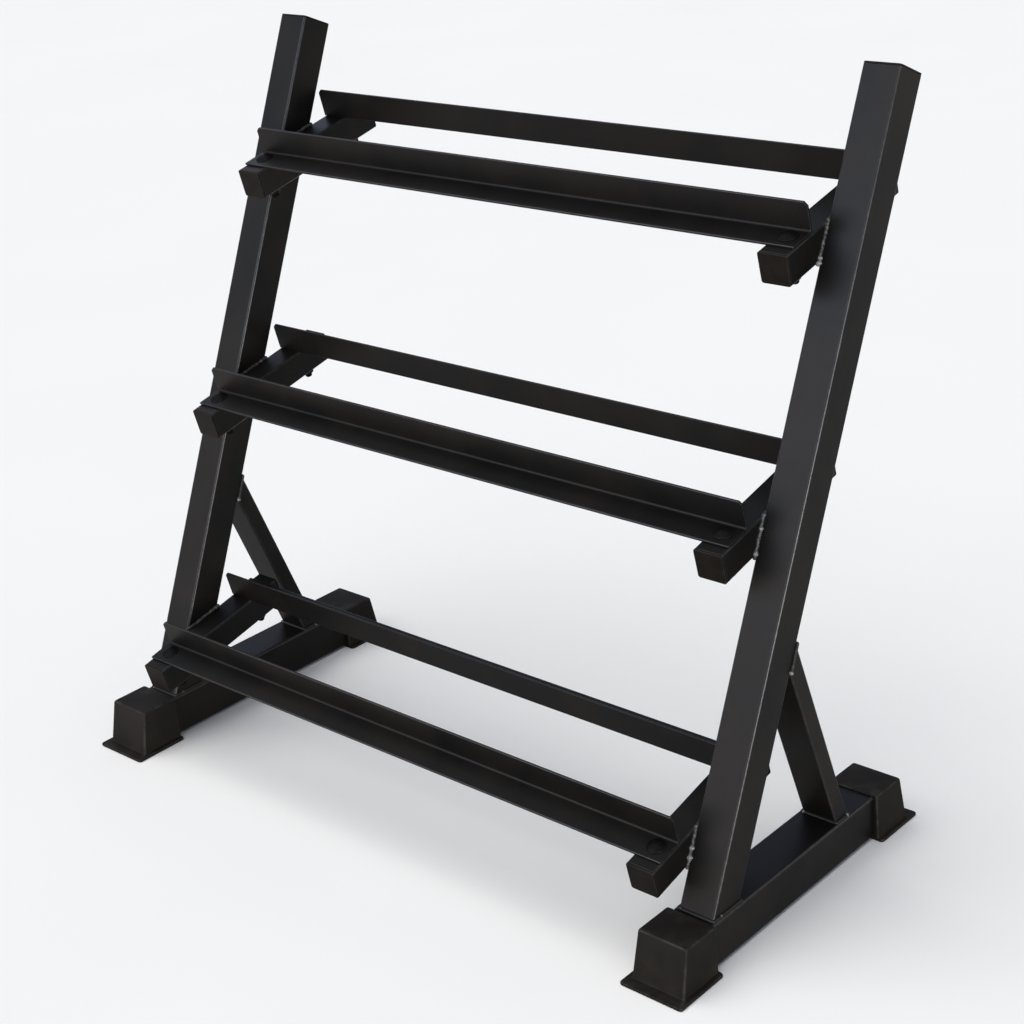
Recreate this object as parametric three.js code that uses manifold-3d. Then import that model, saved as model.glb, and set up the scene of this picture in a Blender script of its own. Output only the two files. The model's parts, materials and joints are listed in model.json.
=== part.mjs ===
// Three-tier dumbbell rack: two welded side frames on rubber boots, joined by six angle rails
// that are held to the shelf arms by carriage bolts and flange nuts.
// Millimetres. +X runs along the rails, +Y to the rear, +Z up. The origin is on the floor,
// under the middle of the rack's bounding box.
import * as THREE from 'three';
import { mergeVertices } from 'three/addons/utils/BufferGeometryUtils.js';
import { ConvexGeometry } from 'three/addons/geometries/ConvexGeometry.js';
import Module from 'manifold-3d';

const wasm = await Module();
wasm.setup();

// ---------------------------------------------------------------- driving dimensions

const GAP = 0.3; // between any two pieces that touch

// Overall layout
const RAIL_SPACE = 920; // between the inner faces of the two uprights
const BASE_DEPTH = 516; // from the front boots' toes to the rear boots' toes

// Base beams
const BEAM_WIDTH = 60;
const BEAM_HEIGHT = 60;
const BEAM_WALL = 2;
const BEAM_CORNER = 4;

// Rubber boots on the beam ends
const BOOT_LENGTH = 84;
const BOOT_SOLE = 2.5;
const BOOT_ROOF = 3;
const BOOT_SIDE_WALL = 5.5; // beside the beam, at the boot's top
const BOOT_SIDE_LEAN = 2.5; // how far each side leans in over the boot's height
const BOOT_SIDE_LIP = 7; // from the foot of each side to the flange's edge
const BOOT_FLANGE_HEIGHT = 4;
const BOOT_FLANGE_CORNER = 4;
const BOOT_TOE_LIP = 15; // from the flange's edge to the foot of the leaning toe face
const BOOT_TOE_LEAN = 12; // how far the toe face leans back over the boot's height
const BOOT_TOE_WALL = 5; // behind the top of the toe face
const BOOT_EDGE = 3; // rounding of the body's corners

// Uprights, leaning to the rear
const UPRIGHT_WIDTH = 50;
const UPRIGHT_DEPTH = 50;
const UPRIGHT_WALL = 2;
const UPRIGHT_CORNER = 3.5;
const UPRIGHT_LENGTH = 998; // along the front face
const UPRIGHT_LEAN = THREE.MathUtils.degToRad(23.3);
const UPRIGHT_SETBACK = 8.5; // from the front boot's mouth to the foot of the front face

// Braces behind the uprights
const BRACE_WIDTH = 50;
const BRACE_DEPTH = 25;
const BRACE_WALL = 2;
const BRACE_CORNER = 3;
const BRACE_LEAN = THREE.MathUtils.degToRad(21);
const BRACE_SETBACK = 51.7; // from the back of the brace's foot to the rear boot's mouth

// Shelf arms, welded to the inner faces of the uprights
const ARM_WIDTH = 40;
const ARM_HEIGHT = 40;
const ARM_WALL = 2;
const ARM_CORNER = 3;
const ARM_LENGTH = 231;
const ARM_SLOPE = THREE.MathUtils.degToRad(13.5);
const ARM_REACH = 101; // from an arm's front end to the upright's centre line
const BOTTOM_TIER = 93.5; // along the upright, from its foot to the arm's centre line
const MIDDLE_TIER = 467;
const TOP_TIER_DROP = 187; // from the upright's top down to the top arm's centre line

// Angle rails
const RAIL_LEG = 40;
const RAIL_THICKNESS = 3;
const RAIL_ROOT = 3; // fillet in the corner of the angle
const RAIL_TOE = 1.2; // rounding of the two toes
const RAIL_END_CLIP = 3; // clipped corners at the ends of the standing leg
const RAIL_INSET = 13; // from an arm's end to the edge of the rail's flat leg

// Carriage bolts and flange nuts
const BOLT_SIZE = 10;
const BOLT_TAIL = 6.1; // thread beyond the nut
const BOLT_HEAD = 24;
const BOLT_HEAD_HEIGHT = 5;
const BOLT_HEAD_CLEARANCE = 2; // between a bolt's head and the fillet of its rail
const BOLT_TIP_CHAMFER = 1.2;
const BOLT_PLAY = 0.5; // between a bolt and the wall of its hole in the arm
const NUT_ACROSS_FLATS = 16;
const NUT_HEIGHT = 10;
const NUT_FLANGE = 21.8;
const NUT_FLANGE_HEIGHT = 2;
const NUT_FLANGE_TAPER = 1; // how much smaller the flange's radius is on its free side

// Plastic plugs in the arm ends and caps in the upright tops
const PLUG_HEAD = 3;
const PLUG_HEAD_CHAMFER = 1;
const PLUG_DEPTH = 14;
const PLUG_WALL = 2;
const CAP_HEAD = 2.5;
const CAP_DEPTH = 18;

// Steps in round shapes
const CORNER_STEPS = 3;
const ROUND_STEPS = 20;
const DOME_STEPS = 4;
const INNER_CORNER = 1; // smallest rounding inside a tube
const SAME_POINT = 1e-4; // points closer than this are one
const THROUGH = 4; // a tool that cuts right through is this many times the wall's thickness

// ---------------------------------------------------------------- values that follow

const BEAM_TOP = BOOT_SOLE + BEAM_HEIGHT;
const BOOT_HEIGHT = BEAM_TOP + BOOT_ROOF;
const BOOT_TOP_WIDTH = BEAM_WIDTH + 2 * BOOT_SIDE_WALL;
const BOOT_BODY_WIDTH = BOOT_TOP_WIDTH + 2 * BOOT_SIDE_LEAN;
const BOOT_FLANGE_WIDTH = BOOT_BODY_WIDTH + 2 * BOOT_SIDE_LIP;
const BEAM_END = BOOT_TOE_LIP + BOOT_TOE_LEAN + BOOT_TOE_WALL;
const UPRIGHT_FOOT = BOOT_LENGTH + UPRIGHT_SETBACK;
const BRACE_REAR = BASE_DEPTH - BOOT_LENGTH - BRACE_SETBACK;
const BRACE_FOOT = BRACE_REAR - BRACE_DEPTH / Math.cos(BRACE_LEAN) - UPRIGHT_FOOT;
const TIERS = [
  { name: 'bottom', height: BOTTOM_TIER },
  { name: 'middle', height: MIDDLE_TIER },
  { name: 'top', height: UPRIGHT_LENGTH - TOP_TIER_DROP },
];
const SIDE_X = RAIL_SPACE / 2 + UPRIGHT_WIDTH / 2; // centre of a side frame
const ARM_X = RAIL_SPACE / 2 - GAP - ARM_WIDTH / 2;
const RAIL_LENGTH = RAIL_SPACE - 2 * GAP;
const BOLT_RADIUS = BOLT_SIZE / 2;
const BOLT_EDGE_DISTANCE = RAIL_LEG - RAIL_THICKNESS - RAIL_ROOT - BOLT_HEAD_CLEARANCE - BOLT_HEAD / 2;
const BOLT_LENGTH = RAIL_THICKNESS + ARM_HEIGHT + NUT_HEIGHT + 3 * GAP + BOLT_TAIL; // under the head
const CUT_SIZE = THROUGH * Math.max(UPRIGHT_WIDTH, UPRIGHT_DEPTH, BRACE_WIDTH, BRACE_DEPTH);

// ---------------------------------------------------------------- materials

function finish(color, roughness, metalness) {
  return () => new THREE.MeshStandardMaterial({ color, roughness, metalness });
}

const powderCoat = finish(0x242428, 0.55, 0.35);
const rubber = finish(0x2a2826, 0.85, 0);
const plastic = finish(0x202023, 0.6, 0);
const blackSteel = finish(0x18181b, 0.45, 0.7);

// ---------------------------------------------------------------- solids and cuts

/** A closed, merged-vertex copy of a geometry, ready for a boolean. */
function solidOf(geometry) {
  const bare = new THREE.BufferGeometry();
  bare.setAttribute('position', geometry.getAttribute('position').clone());
  if (geometry.index) bare.setIndex(geometry.index.clone());
  const merged = mergeVertices(bare, SAME_POINT);
  return new wasm.Manifold(new wasm.Mesh({
    numProp: 3,
    vertProperties: Float32Array.from(merged.getAttribute('position').array),
    triVerts: Uint32Array.from(merged.index.array),
  }));
}

/** A three.js geometry of a solid. */
function geometryOf(solid) {
  const mesh = solid.getMesh();
  const geometry = new THREE.BufferGeometry();
  geometry.setAttribute('position', new THREE.BufferAttribute(Float32Array.from(mesh.vertProperties), 3));
  geometry.setIndex(new THREE.BufferAttribute(Uint32Array.from(mesh.triVerts), 1));
  geometry.computeVertexNormals();
  return geometry;
}

function cut(geometry, ...tools) {
  return geometryOf(tools.reduce((rest, tool) => rest.subtract(solidOf(tool)), solidOf(geometry)));
}

function join(geometry, ...others) {
  return geometryOf(others.reduce((sum, other) => sum.add(solidOf(other)), solidOf(geometry)));
}

/** A block that fills the side of a plane that its normal points to, centred on a point of the plane. */
function halfSpace(point, normal) {
  const block = new THREE.BoxGeometry(CUT_SIZE, CUT_SIZE, CUT_SIZE);
  block.translate(0, 0, CUT_SIZE / 2);
  block.applyQuaternion(new THREE.Quaternion().setFromUnitVectors(new THREE.Vector3(0, 0, 1), normal));
  return block.translate(point.x, point.y, point.z);
}

// ---------------------------------------------------------------- sections

/** Adds a rectangle with round corners, centred on the origin, to a shape or a hole. */
function roundedRectangle(path, width, height, corner) {
  const x = width / 2 - corner;
  const y = height / 2 - corner;
  path.absarc(x, y, corner, 0, Math.PI / 2);
  path.absarc(-x, y, corner, Math.PI / 2, Math.PI);
  path.absarc(-x, -y, corner, Math.PI, 1.5 * Math.PI);
  path.absarc(x, -y, corner, 1.5 * Math.PI, 2 * Math.PI);
  path.closePath();
  return path;
}

function extrude(shape, length, curveSegments = CORNER_STEPS) {
  return new THREE.ExtrudeGeometry(shape, { depth: length, steps: 1, bevelEnabled: false, curveSegments });
}

function bar(width, height, corner, length) {
  return extrude(roundedRectangle(new THREE.Shape(), width, height, corner), length);
}

/** A hollow bar along +Z, centred on the Z axis. */
function tube(width, height, wall, corner, length, curveSegments = CORNER_STEPS) {
  const shape = roundedRectangle(new THREE.Shape(), width, height, corner);
  const inner = Math.max(corner - wall, INNER_CORNER);
  shape.holes.push(roundedRectangle(new THREE.Path(), width - 2 * wall, height - 2 * wall, inner));
  return extrude(shape, length, curveSegments);
}

/** The points of a round-cornered rectangle at one height, for a hull. */
function ring(width, y0, y1, corner, z) {
  const outline = roundedRectangle(new THREE.Shape(), width, y1 - y0, corner);
  return outline.getPoints(CORNER_STEPS).map((p) => new THREE.Vector3(p.x, p.y + (y0 + y1) / 2, z));
}

// ---------------------------------------------------------------- parts of a side frame

function baseBeam() {
  const length = BASE_DEPTH - 2 * BEAM_END;
  const geometry = tube(BEAM_WIDTH, BEAM_HEIGHT, BEAM_WALL, BEAM_CORNER, length);
  geometry.rotateX(-Math.PI / 2);
  return geometry.translate(0, BEAM_END, BOOT_SOLE + BEAM_HEIGHT / 2);
}

/** A boot with its toe at y = 0 and its open mouth at y = BOOT_LENGTH. */
function boot() {
  const flange = bar(BOOT_FLANGE_WIDTH, BOOT_LENGTH, BOOT_FLANGE_CORNER, BOOT_FLANGE_HEIGHT);
  flange.translate(0, BOOT_LENGTH / 2, 0);
  const toeTop = BOOT_TOE_LIP + BOOT_TOE_LEAN;
  const edge = BOOT_EDGE / 2;
  const body = new ConvexGeometry([
    ...ring(BOOT_BODY_WIDTH, BOOT_TOE_LIP, BOOT_LENGTH, BOOT_EDGE, BOOT_FLANGE_HEIGHT / 2),
    ...ring(BOOT_TOP_WIDTH, toeTop, BOOT_LENGTH, BOOT_EDGE, BOOT_HEIGHT - edge),
    ...ring(BOOT_TOP_WIDTH - 2 * edge, toeTop + edge, BOOT_LENGTH - edge, BOOT_EDGE, BOOT_HEIGHT),
  ]);
  const pocket = bar(BEAM_WIDTH + 2 * GAP, BEAM_HEIGHT + 2 * GAP, BEAM_CORNER + GAP, BOOT_LENGTH);
  pocket.rotateX(-Math.PI / 2);
  pocket.translate(0, BEAM_END - GAP, BOOT_SOLE + BEAM_HEIGHT / 2);
  return cut(join(flange, body), pocket);
}

/** From the foot of the front face, in the upright's own frame: +Z up its front face, +Y to its rear. */
function upright() {
  const geometry = tube(UPRIGHT_WIDTH, UPRIGHT_DEPTH, UPRIGHT_WALL, UPRIGHT_CORNER, UPRIGHT_LENGTH);
  geometry.translate(0, UPRIGHT_DEPTH / 2, 0);
  const down = new THREE.Vector3(0, Math.sin(UPRIGHT_LEAN), -Math.cos(UPRIGHT_LEAN));
  return cut(geometry, halfSpace(down.clone().multiplyScalar(-GAP), down));
}

/** A plug for the end of a tube: its head on +Z at z = 0, its hollow sleeve below. */
function plug(width, height, wall, corner, head, depth) {
  const chamfer = PLUG_HEAD_CHAMFER;
  const top = new ConvexGeometry([
    ...ring(width, -height / 2, height / 2, corner, GAP),
    ...ring(width, -height / 2, height / 2, corner, GAP + head - chamfer),
    ...ring(width - 2 * chamfer, chamfer - height / 2, height / 2 - chamfer, corner, GAP + head),
  ]);
  const sleeveWidth = width - 2 * (wall + GAP);
  const sleeveHeight = height - 2 * (wall + GAP);
  const intoHead = GAP + head / 2;
  const sleeve = tube(sleeveWidth, sleeveHeight, PLUG_WALL, corner, depth + intoHead, 1);
  sleeve.translate(0, 0, -depth);
  return join(top, sleeve);
}

/** From the foot of the front face, in the brace's own frame: +Z up its front face, +Y to its rear. */
function brace() {
  const uprightNormal = new THREE.Vector3(0, Math.cos(UPRIGHT_LEAN), -Math.sin(UPRIGHT_LEAN));
  const rearFace = uprightNormal.clone().multiplyScalar(UPRIGHT_DEPTH + GAP);
  rearFace.y -= BRACE_FOOT;
  const along = new THREE.Vector3(0, -Math.sin(BRACE_LEAN), Math.cos(BRACE_LEAN));
  const length = rearFace.dot(uprightNormal) / along.dot(uprightNormal);
  const intoOwnFrame = new THREE.Quaternion().setFromAxisAngle(new THREE.Vector3(1, 0, 0), -BRACE_LEAN);
  const down = new THREE.Vector3(0, 0, -1).applyQuaternion(intoOwnFrame);
  const forward = uprightNormal.clone().negate().applyQuaternion(intoOwnFrame);
  const overshoot = 2 * BRACE_DEPTH;
  const geometry = tube(BRACE_WIDTH, BRACE_DEPTH, BRACE_WALL, BRACE_CORNER, length + 2 * overshoot);
  geometry.translate(0, BRACE_DEPTH / 2, -overshoot);
  const foot = halfSpace(down.clone().multiplyScalar(-GAP), down);
  return cut(geometry, foot, halfSpace(new THREE.Vector3(0, 0, length), forward));
}

// ---------------------------------------------------------------- parts of a shelf
// In a shelf's frame +Y runs up the arms from their front ends and z = 0 is the arms' top face.

const FRONT_BOLT_Y = RAIL_INSET + BOLT_EDGE_DISTANCE;
const BOLT_ROWS = [
  { name: 'front', y: FRONT_BOLT_Y },
  { name: 'rear', y: ARM_LENGTH - FRONT_BOLT_Y },
];

function arm() {
  const geometry = tube(ARM_WIDTH, ARM_HEIGHT, ARM_WALL, ARM_CORNER, ARM_LENGTH);
  geometry.rotateX(-Math.PI / 2);
  geometry.translate(0, 0, -ARM_HEIGHT / 2);
  const holes = BOLT_ROWS.map(({ y }) => {
    const radius = BOLT_RADIUS + BOLT_PLAY;
    const drill = new THREE.CylinderGeometry(radius, radius, THROUGH * ARM_HEIGHT, ROUND_STEPS);
    return drill.rotateX(Math.PI / 2).translate(0, y, -ARM_HEIGHT / 2);
  });
  return cut(geometry, ...holes);
}

/** The angle's section: flat leg along +u, standing leg along +v, outer corner at the origin. */
function angleSection() {
  const shape = new THREE.Shape();
  const leg = RAIL_LEG;
  const wall = RAIL_THICKNESS;
  shape.moveTo(0, 0);
  shape.lineTo(leg, 0);
  shape.absarc(leg - RAIL_TOE, wall - RAIL_TOE, RAIL_TOE, 0, Math.PI / 2);
  shape.absarc(wall + RAIL_ROOT, wall + RAIL_ROOT, RAIL_ROOT, 1.5 * Math.PI, Math.PI, true);
  shape.absarc(wall - RAIL_TOE, leg - RAIL_TOE, RAIL_TOE, 0, Math.PI / 2);
  shape.lineTo(0, leg);
  shape.closePath();
  return shape;
}

/** A rail with its outer corner on y = 0 and its flat leg to the front. */
function rail() {
  const geometry = extrude(angleSection(), RAIL_LENGTH);
  geometry.translate(0, 0, -RAIL_LENGTH / 2);
  geometry.applyMatrix4(new THREE.Matrix4().makeBasis(
    new THREE.Vector3(0, -1, 0),
    new THREE.Vector3(0, 0, 1),
    new THREE.Vector3(-1, 0, 0),
  ));
  const neckHole = BOLT_SIZE + 2 * GAP;
  const clipSide = RAIL_END_CLIP * Math.SQRT2;
  const tools = [];
  for (const side of [-1, 1]) {
    const hole = new THREE.BoxGeometry(neckHole, neckHole, THROUGH * RAIL_THICKNESS);
    tools.push(hole.translate(side * ARM_X, BOLT_EDGE_DISTANCE - RAIL_LEG, RAIL_THICKNESS / 2));
    const clip = new THREE.BoxGeometry(clipSide, THROUGH * RAIL_THICKNESS, clipSide);
    clip.rotateY(Math.PI / 4);
    tools.push(clip.translate(side * RAIL_LENGTH / 2, 0, RAIL_LEG));
  }
  return cut(geometry, ...tools);
}

/** A carriage bolt: the underside of its head at z = 0, its shank down -Z. */
function bolt() {
  const dome = [];
  const sagitta = BOLT_HEAD_HEIGHT;
  const sphere = ((BOLT_HEAD / 2) ** 2 + sagitta ** 2) / (2 * sagitta);
  const sweep = Math.asin(BOLT_HEAD / 2 / sphere);
  for (let step = 0; step < DOME_STEPS; step += 1) {
    const angle = sweep * (1 - step / DOME_STEPS);
    dome.push(new THREE.Vector2(sphere * Math.sin(angle), sagitta - sphere + sphere * Math.cos(angle)));
  }
  const profile = [
    new THREE.Vector2(0, -BOLT_LENGTH),
    new THREE.Vector2(BOLT_RADIUS - BOLT_TIP_CHAMFER, -BOLT_LENGTH),
    new THREE.Vector2(BOLT_RADIUS, BOLT_TIP_CHAMFER - BOLT_LENGTH),
    new THREE.Vector2(BOLT_RADIUS, 0),
    ...dome,
    new THREE.Vector2(0, sagitta),
  ];
  const turned = new THREE.LatheGeometry(profile, ROUND_STEPS).rotateX(Math.PI / 2);
  const neck = new THREE.BoxGeometry(BOLT_SIZE, BOLT_SIZE, RAIL_THICKNESS + GAP);
  return join(turned, neck.translate(0, 0, (GAP - RAIL_THICKNESS) / 2));
}

/** A flange nut: its flange at z = 0, its hexagon down -Z. */
function nut() {
  const hexRadius = NUT_ACROSS_FLATS / Math.sqrt(3);
  const hexagon = new THREE.CylinderGeometry(hexRadius, hexRadius, NUT_HEIGHT, 6).rotateX(Math.PI / 2);
  hexagon.translate(0, 0, -NUT_HEIGHT / 2);
  const radius = NUT_FLANGE / 2;
  const freeRadius = radius - NUT_FLANGE_TAPER;
  const flange = new THREE.CylinderGeometry(radius, freeRadius, NUT_FLANGE_HEIGHT, ROUND_STEPS);
  flange.rotateX(Math.PI / 2).translate(0, 0, -NUT_FLANGE_HEIGHT / 2);
  const boreRadius = BOLT_RADIUS + GAP;
  const bore = new THREE.CylinderGeometry(boreRadius, boreRadius, THROUGH * NUT_HEIGHT, ROUND_STEPS);
  return cut(join(hexagon, flange), bore.rotateX(Math.PI / 2));
}

// ---------------------------------------------------------------- assembly

const rack = new THREE.Group();

function addTo(parent, name, geometry, material) {
  const mesh = new THREE.Mesh(geometry, material());
  mesh.name = name;
  parent.add(mesh);
  return mesh;
}

function sideFrame(hand, side) {
  const frame = new THREE.Group();
  frame.position.x = side * SIDE_X;
  rack.add(frame);

  addTo(frame, `base_beam_${hand}`, baseBeam(), powderCoat);
  addTo(frame, `boot_front_${hand}`, boot(), rubber);
  const rearBoot = addTo(frame, `boot_rear_${hand}`, boot(), rubber);
  rearBoot.position.y = BASE_DEPTH;
  rearBoot.rotation.z = Math.PI;

  const leaning = new THREE.Group();
  leaning.position.set(0, UPRIGHT_FOOT, BEAM_TOP);
  leaning.rotation.x = -UPRIGHT_LEAN;
  frame.add(leaning);
  addTo(leaning, `upright_${hand}`, upright(), powderCoat);
  const capGeometry = plug(UPRIGHT_WIDTH, UPRIGHT_DEPTH, UPRIGHT_WALL, UPRIGHT_CORNER, CAP_HEAD, CAP_DEPTH);
  const cap = addTo(leaning, `upright_cap_${hand}`, capGeometry, plastic);
  cap.position.set(0, UPRIGHT_DEPTH / 2, UPRIGHT_LENGTH);

  const braceMesh = addTo(frame, `brace_${hand}`, brace(), powderCoat);
  braceMesh.position.set(0, UPRIGHT_FOOT + BRACE_FOOT, BEAM_TOP);
  braceMesh.rotation.x = BRACE_LEAN;
}

/** The front end of a tier's arms, on their top face, in the side view. */
function shelfOrigin(height) {
  const middle = UPRIGHT_DEPTH / 2;
  const y = UPRIGHT_FOOT + middle * Math.cos(UPRIGHT_LEAN) + height * Math.sin(UPRIGHT_LEAN);
  const z = BEAM_TOP - middle * Math.sin(UPRIGHT_LEAN) + height * Math.cos(UPRIGHT_LEAN);
  const rise = ARM_HEIGHT / 2;
  return new THREE.Vector3(
    0,
    y - ARM_REACH * Math.cos(ARM_SLOPE) - rise * Math.sin(ARM_SLOPE),
    z - ARM_REACH * Math.sin(ARM_SLOPE) + rise * Math.cos(ARM_SLOPE),
  );
}

function shelf(tier) {
  const frame = new THREE.Group();
  frame.position.copy(shelfOrigin(tier.height));
  frame.rotation.x = ARM_SLOPE;
  rack.add(frame);

  for (const [hand, side] of [['left', -1], ['right', 1]]) {
    const x = side * ARM_X;
    addTo(frame, `arm_${tier.name}_${hand}`, arm(), powderCoat).position.x = x;
    for (const [end, y, turn] of [['front', 0, 1], ['rear', ARM_LENGTH, -1]]) {
      const geometry = plug(ARM_WIDTH, ARM_HEIGHT, ARM_WALL, ARM_CORNER, PLUG_HEAD, PLUG_DEPTH);
      const mesh = addTo(frame, `plug_${tier.name}_${hand}_${end}`, geometry, plastic);
      mesh.position.set(x, y, -ARM_HEIGHT / 2);
      mesh.rotation.x = turn * Math.PI / 2;
    }
    for (const { name, y } of BOLT_ROWS) {
      const boltMesh = addTo(frame, `bolt_${tier.name}_${hand}_${name}`, bolt(), blackSteel);
      boltMesh.position.set(x, y, RAIL_THICKNESS + 2 * GAP);
      const nutMesh = addTo(frame, `nut_${tier.name}_${hand}_${name}`, nut(), blackSteel);
      nutMesh.position.set(x, y, -ARM_HEIGHT - GAP);
    }
  }

  const corner = RAIL_INSET + RAIL_LEG;
  const frontRail = addTo(frame, `rail_${tier.name}_front`, rail(), powderCoat);
  frontRail.position.set(0, corner, GAP);
  const rearRail = addTo(frame, `rail_${tier.name}_rear`, rail(), powderCoat);
  rearRail.position.set(0, ARM_LENGTH - corner, GAP);
  rearRail.rotation.z = Math.PI;
}

sideFrame('left', -1);
sideFrame('right', 1);
TIERS.forEach(shelf);

rack.updateMatrixWorld(true);
const bounds = new THREE.Box3().setFromObject(rack, true);
rack.position.y = -(bounds.min.y + bounds.max.y) / 2;

export default rack;
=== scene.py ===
# %% [markdown]
# # A three-tier dumbbell rack
# Two welded side frames of square steel tube lean to the rear on rubber boots. Six angle rails
# bolt across them in pairs, and each pair makes a sloping tray for dumbbells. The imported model
# gives every piece's place, so the first step is to load it. Nothing is fitted by eye afterwards:
# each new surface is worked out from the same sizes and laid where its node lies.

# %% Load the frame
import json
import math

import bmesh
import bpy
import numpy as np
from mathutils import Matrix, Quaternion, Vector

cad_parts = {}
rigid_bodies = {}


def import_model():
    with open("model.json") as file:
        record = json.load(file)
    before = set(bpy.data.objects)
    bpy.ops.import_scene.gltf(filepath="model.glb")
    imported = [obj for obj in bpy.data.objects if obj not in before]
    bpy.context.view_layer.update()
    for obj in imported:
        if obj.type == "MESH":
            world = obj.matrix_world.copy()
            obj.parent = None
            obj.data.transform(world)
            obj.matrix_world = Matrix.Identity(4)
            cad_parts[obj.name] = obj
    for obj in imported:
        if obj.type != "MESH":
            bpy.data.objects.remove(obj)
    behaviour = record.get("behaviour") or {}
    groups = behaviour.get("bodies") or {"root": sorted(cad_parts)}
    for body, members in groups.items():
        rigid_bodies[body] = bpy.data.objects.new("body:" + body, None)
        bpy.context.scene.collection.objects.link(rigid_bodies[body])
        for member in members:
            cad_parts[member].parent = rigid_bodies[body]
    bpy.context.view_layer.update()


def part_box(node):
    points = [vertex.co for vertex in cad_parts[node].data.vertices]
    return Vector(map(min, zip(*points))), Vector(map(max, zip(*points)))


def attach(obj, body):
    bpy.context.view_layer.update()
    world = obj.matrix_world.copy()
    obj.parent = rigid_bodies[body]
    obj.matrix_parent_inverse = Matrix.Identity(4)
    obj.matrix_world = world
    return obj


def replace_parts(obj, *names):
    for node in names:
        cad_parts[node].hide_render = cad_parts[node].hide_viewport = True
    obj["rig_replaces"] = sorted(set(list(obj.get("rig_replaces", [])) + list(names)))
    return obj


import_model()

# %% [markdown]
# ## Sizes
# The steel comes in stock sizes, so a few numbers describe the whole rack: a tube is its width,
# its depth, its wall and the radius of its corners. Lengths are written in millimetres and turned
# into metres once. What can be read from the frame, such as where a beam lies, is read there.

# %% Stock sizes
MM = 0.001
GAP = 0.3 * MM  # between two pieces that touch
HANDS = {"left": -1, "right": 1}
TIERS = ("bottom", "middle", "top")


def stock_tube(width, depth, corner, wall=2):
    return {"width": width * MM, "depth": depth * MM, "corner": corner * MM, "wall": wall * MM}


BEAM = stock_tube(60, 60, 4)
UPRIGHT = stock_tube(50, 50, 3.5)
BRACE = stock_tube(50, 25, 3)
ARM = stock_tube(40, 40, 3)
INNER_CORNER = 1 * MM  # smallest rounding inside a tube
SAWN_EDGE = 0.45 * MM  # rounding of a tube's sawn rim

UPRIGHT_LENGTH = 998 * MM
UPRIGHT_LEAN = math.radians(23.3)
BRACE_LEAN = math.radians(21)
ARM_LENGTH = 231 * MM
ARM_SLOPE = math.radians(13.5)

RAIL_LEG = 40 * MM
RAIL_THICKNESS = 3 * MM
RAIL_ROOT = 3 * MM  # fillet in the corner of the angle
RAIL_TOE = 1.2 * MM  # rounding of the legs' inner edges
RAIL_CLIP = 5 * MM  # clipped corners at the ends of the standing leg
RAIL_INSET = 13 * MM  # from an arm's end to the edge of the flat leg

BOLT_RADIUS = 5 * MM
BOLT_FROM_EDGE = 20 * MM  # from the flat leg's edge to the bolt
BOLT_PLAY = 0.5 * MM  # round the bolt in the arm's hole

print("upright:", UPRIGHT_LENGTH, "m of tube", UPRIGHT["width"], "m wide")

# %% [markdown]
# ## Places
# A leaning or sloping piece is easiest to draw in a frame of its own, where it runs straight up or
# straight back. A 4 by 4 matrix then carries it to its place. The matrices start at corners of the
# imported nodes' boxes: an arm's box touches the front end of its top face, and a beam's box is the
# beam itself.

# %% Frames of the leaning uprights and the sloping shelves
beam_low, beam_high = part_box("base_beam_right")
SIDE_X = (beam_low.x + beam_high.x) / 2
BEAM_TOP = beam_high.z
INNER_FACE = SIDE_X - UPRIGHT["width"] / 2

upright_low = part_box("upright_right")[0]
UPRIGHT_FOOT = upright_low.y - GAP * math.tan(UPRIGHT_LEAN)
brace_low, brace_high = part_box("brace_right")
BRACE_BACK = brace_high.y
BRACE_FOOT = BRACE_BACK - BRACE["depth"] / math.cos(BRACE_LEAN) + GAP * math.tan(BRACE_LEAN)


def placed(x, y, z, lean=0.0):
    """A frame at a point, leaning to the rear by an angle: a turn about X, then a move."""
    return Matrix.Translation((x, y, z)) @ Matrix.Rotation(-lean, 4, "X")


def shelf_frame(tier):
    """A tier's own frame: +Y up the slope from the arms' front ends, z = 0 on their top faces."""
    low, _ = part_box(f"arm_{tier}_right")
    return placed(0, low.y, low.z + ARM["depth"] * math.cos(ARM_SLOPE), -ARM_SLOPE)


LYING = Matrix.Rotation(-math.pi / 2, 4, "X")  # lays a bar drawn along +Z down along +Y
arm_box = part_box("arm_top_right")
ARM_X = (arm_box[0].x + arm_box[1].x) / 2
print("side frames at x =", round(SIDE_X, 4), "shelves start at",
      [tuple(round(v, 4) for v in shelf_frame(tier).translation) for tier in TIERS])

# %% [markdown]
# ## From arrays to a piece
# A surface here is an array of points and a list of arrays of faces. Several surfaces are joined
# by counting the faces on. The mesh then has its doubles merged, so that seams and poles close,
# and its normals recalculated, so that every face points outwards. Edges sharper than a set angle
# stay sharp, and a Weighted Normal modifier keeps the large flats flat beside small roundings.
#
# Each point also carries a number named wear: 0 on flats and 1 along the crest of an edge. The
# finishes read it, because paint is thinnest and is rubbed first where an edge stands out.

# %% Surfaces and pieces
DOUBLES = MM / 500  # points nearer than this are one


def grid_faces(rows, columns, close_rows=False, close_columns=True):
    """Quads joining point (i, j) to (i, j+1), (i+1, j+1) and (i+1, j), round the ends if closed."""
    i, j = np.meshgrid(np.arange(rows - (not close_rows)), np.arange(columns - (not close_columns)),
                       indexing="ij")
    i, j = i.ravel(), j.ravel()
    below, beside = (i + 1) % rows, (j + 1) % columns
    return np.stack([i * columns + j, i * columns + beside, below * columns + beside,
                     below * columns + j], axis=1)


def joined(*surfaces):
    """One surface of several: points one after another, wear too, and faces counted on."""
    starts = np.cumsum([0] + [len(points) for points, _, _ in surfaces[:-1]])
    points = np.concatenate([surface[0] for surface in surfaces])
    wear = np.concatenate([surface[1] for surface in surfaces])
    faces = [block + start for start, surface in zip(starts, surfaces) for block in surface[2]]
    return points, wear, faces


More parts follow.
